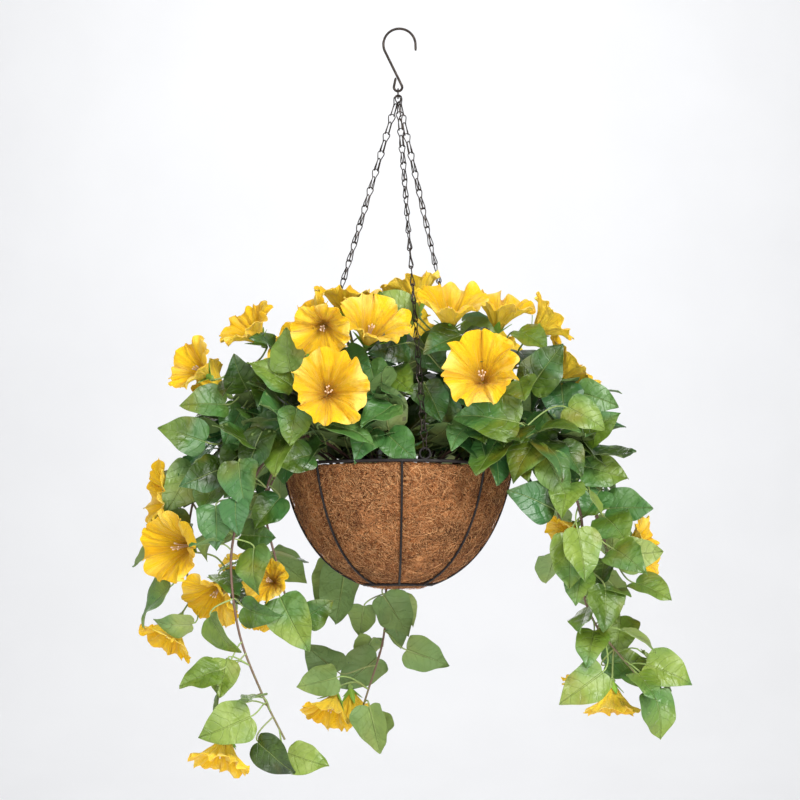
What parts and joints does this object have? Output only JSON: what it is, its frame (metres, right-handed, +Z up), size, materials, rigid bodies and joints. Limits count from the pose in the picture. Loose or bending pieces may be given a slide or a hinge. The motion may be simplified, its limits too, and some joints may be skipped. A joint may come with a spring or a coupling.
{
  "type": "petunia hanging basket",
  "caption": "Half-round wire hanging basket with a coco fibre liner, hung by three chains from an open hook and filled with trailing yellow petunias.",
  "frame": {"origin": "the point inside the top of the hook's bend that bears on a bracket", "axes": "+Z up, -Y towards the front, +X to the right seen from the front"},
  "size_m": [0.5932, 0.3689, 0.822],
  "materials": {
    "dark_bronze": "dark bronzed steel wire, satin",
    "black_wire": "black coated steel wire, satin",
    "coco_fibre": "matted coir fibre, rough",
    "dark_fill": "dark foam fill, dull",
    "leaf_green": "printed leaf cloth with a soft gloss, on brown and green stems",
    "petal_yellow": "pleated golden yellow petal cloth"
  },
  "bodies": {
    "hook": {"hook": "dark_bronze"},
    "ring": {"gather_ring": "dark_bronze"},
    "basket": {"chain_front": "dark_bronze", "chain_left": "dark_bronze", "chain_back": "dark_bronze", "wire_basket": "black_wire", "coco_liner": "coco_fibre", "planting_fill": "dark_fill", "trailing_stem_left_1": "leaf_green", "trailing_stem_left_2": "leaf_green", "trailing_stem_left_3": "leaf_green", "trailing_stem_left_4": "leaf_green", "arching_stem_left": "leaf_green", "trailing_stem_back": "leaf_green", "trailing_stem_right_1": "leaf_green", "trailing_stem_right_2": "leaf_green", "arching_stem_right": "leaf_green", "trailing_stem_right_3": "leaf_green", "trailing_stem_back_left": "leaf_green", "trailing_stem_back_right": "leaf_green", "upright_stem_1": "leaf_green", "upright_stem_2": "leaf_green", "upright_stem_3": "leaf_green", "upright_stem_4": "leaf_green", "upright_stem_5": "leaf_green", "upright_stem_6": "leaf_green", "upright_stem_7": "leaf_green", "upright_stem_8": "leaf_green", "upright_stem_9": "leaf_green", "bloom_01": "petal_yellow", "bloom_02": "petal_yellow", "bloom_03": "petal_yellow", "bloom_04": "petal_yellow", "bloom_05": "petal_yellow", "bloom_06": "petal_yellow", "bloom_07": "petal_yellow", "bloom_08": "petal_yellow", "bloom_09": "petal_yellow", "bloom_10": "petal_yellow", "bloom_11": "petal_yellow", "bloom_12": "petal_yellow", "bloom_13": "petal_yellow", "bloom_14": "petal_yellow", "bloom_15": "petal_yellow", "bloom_16": "petal_yellow", "bloom_17": "petal_yellow", "bloom_18": "petal_yellow", "bloom_19": "petal_yellow", "bloom_20": "petal_yellow", "bloom_21": "petal_yellow", "bloom_22": "petal_yellow", "bloom_23": "petal_yellow", "bloom_24": "petal_yellow", "bloom_25": "petal_yellow", "bloom_26": "petal_yellow", "bloom_27": "petal_yellow", "bloom_28": "petal_yellow", "bloom_29": "petal_yellow", "bloom_30": "petal_yellow", "bloom_31": "petal_yellow"}
  },
  "joints": [
    {"name": "side_swing", "type": "hinge", "parent": "hook", "child": "ring", "pos_m": [0, 0, -0.0665], "axis": [0, 1, 0], "range_deg": [-25, 25]},
    {"name": "front_swing", "type": "hinge", "parent": "ring", "child": "basket", "pos_m": [0, 0, -0.0717], "axis": [1, 0, 0], "range_deg": [-20, 20]}
  ]
}
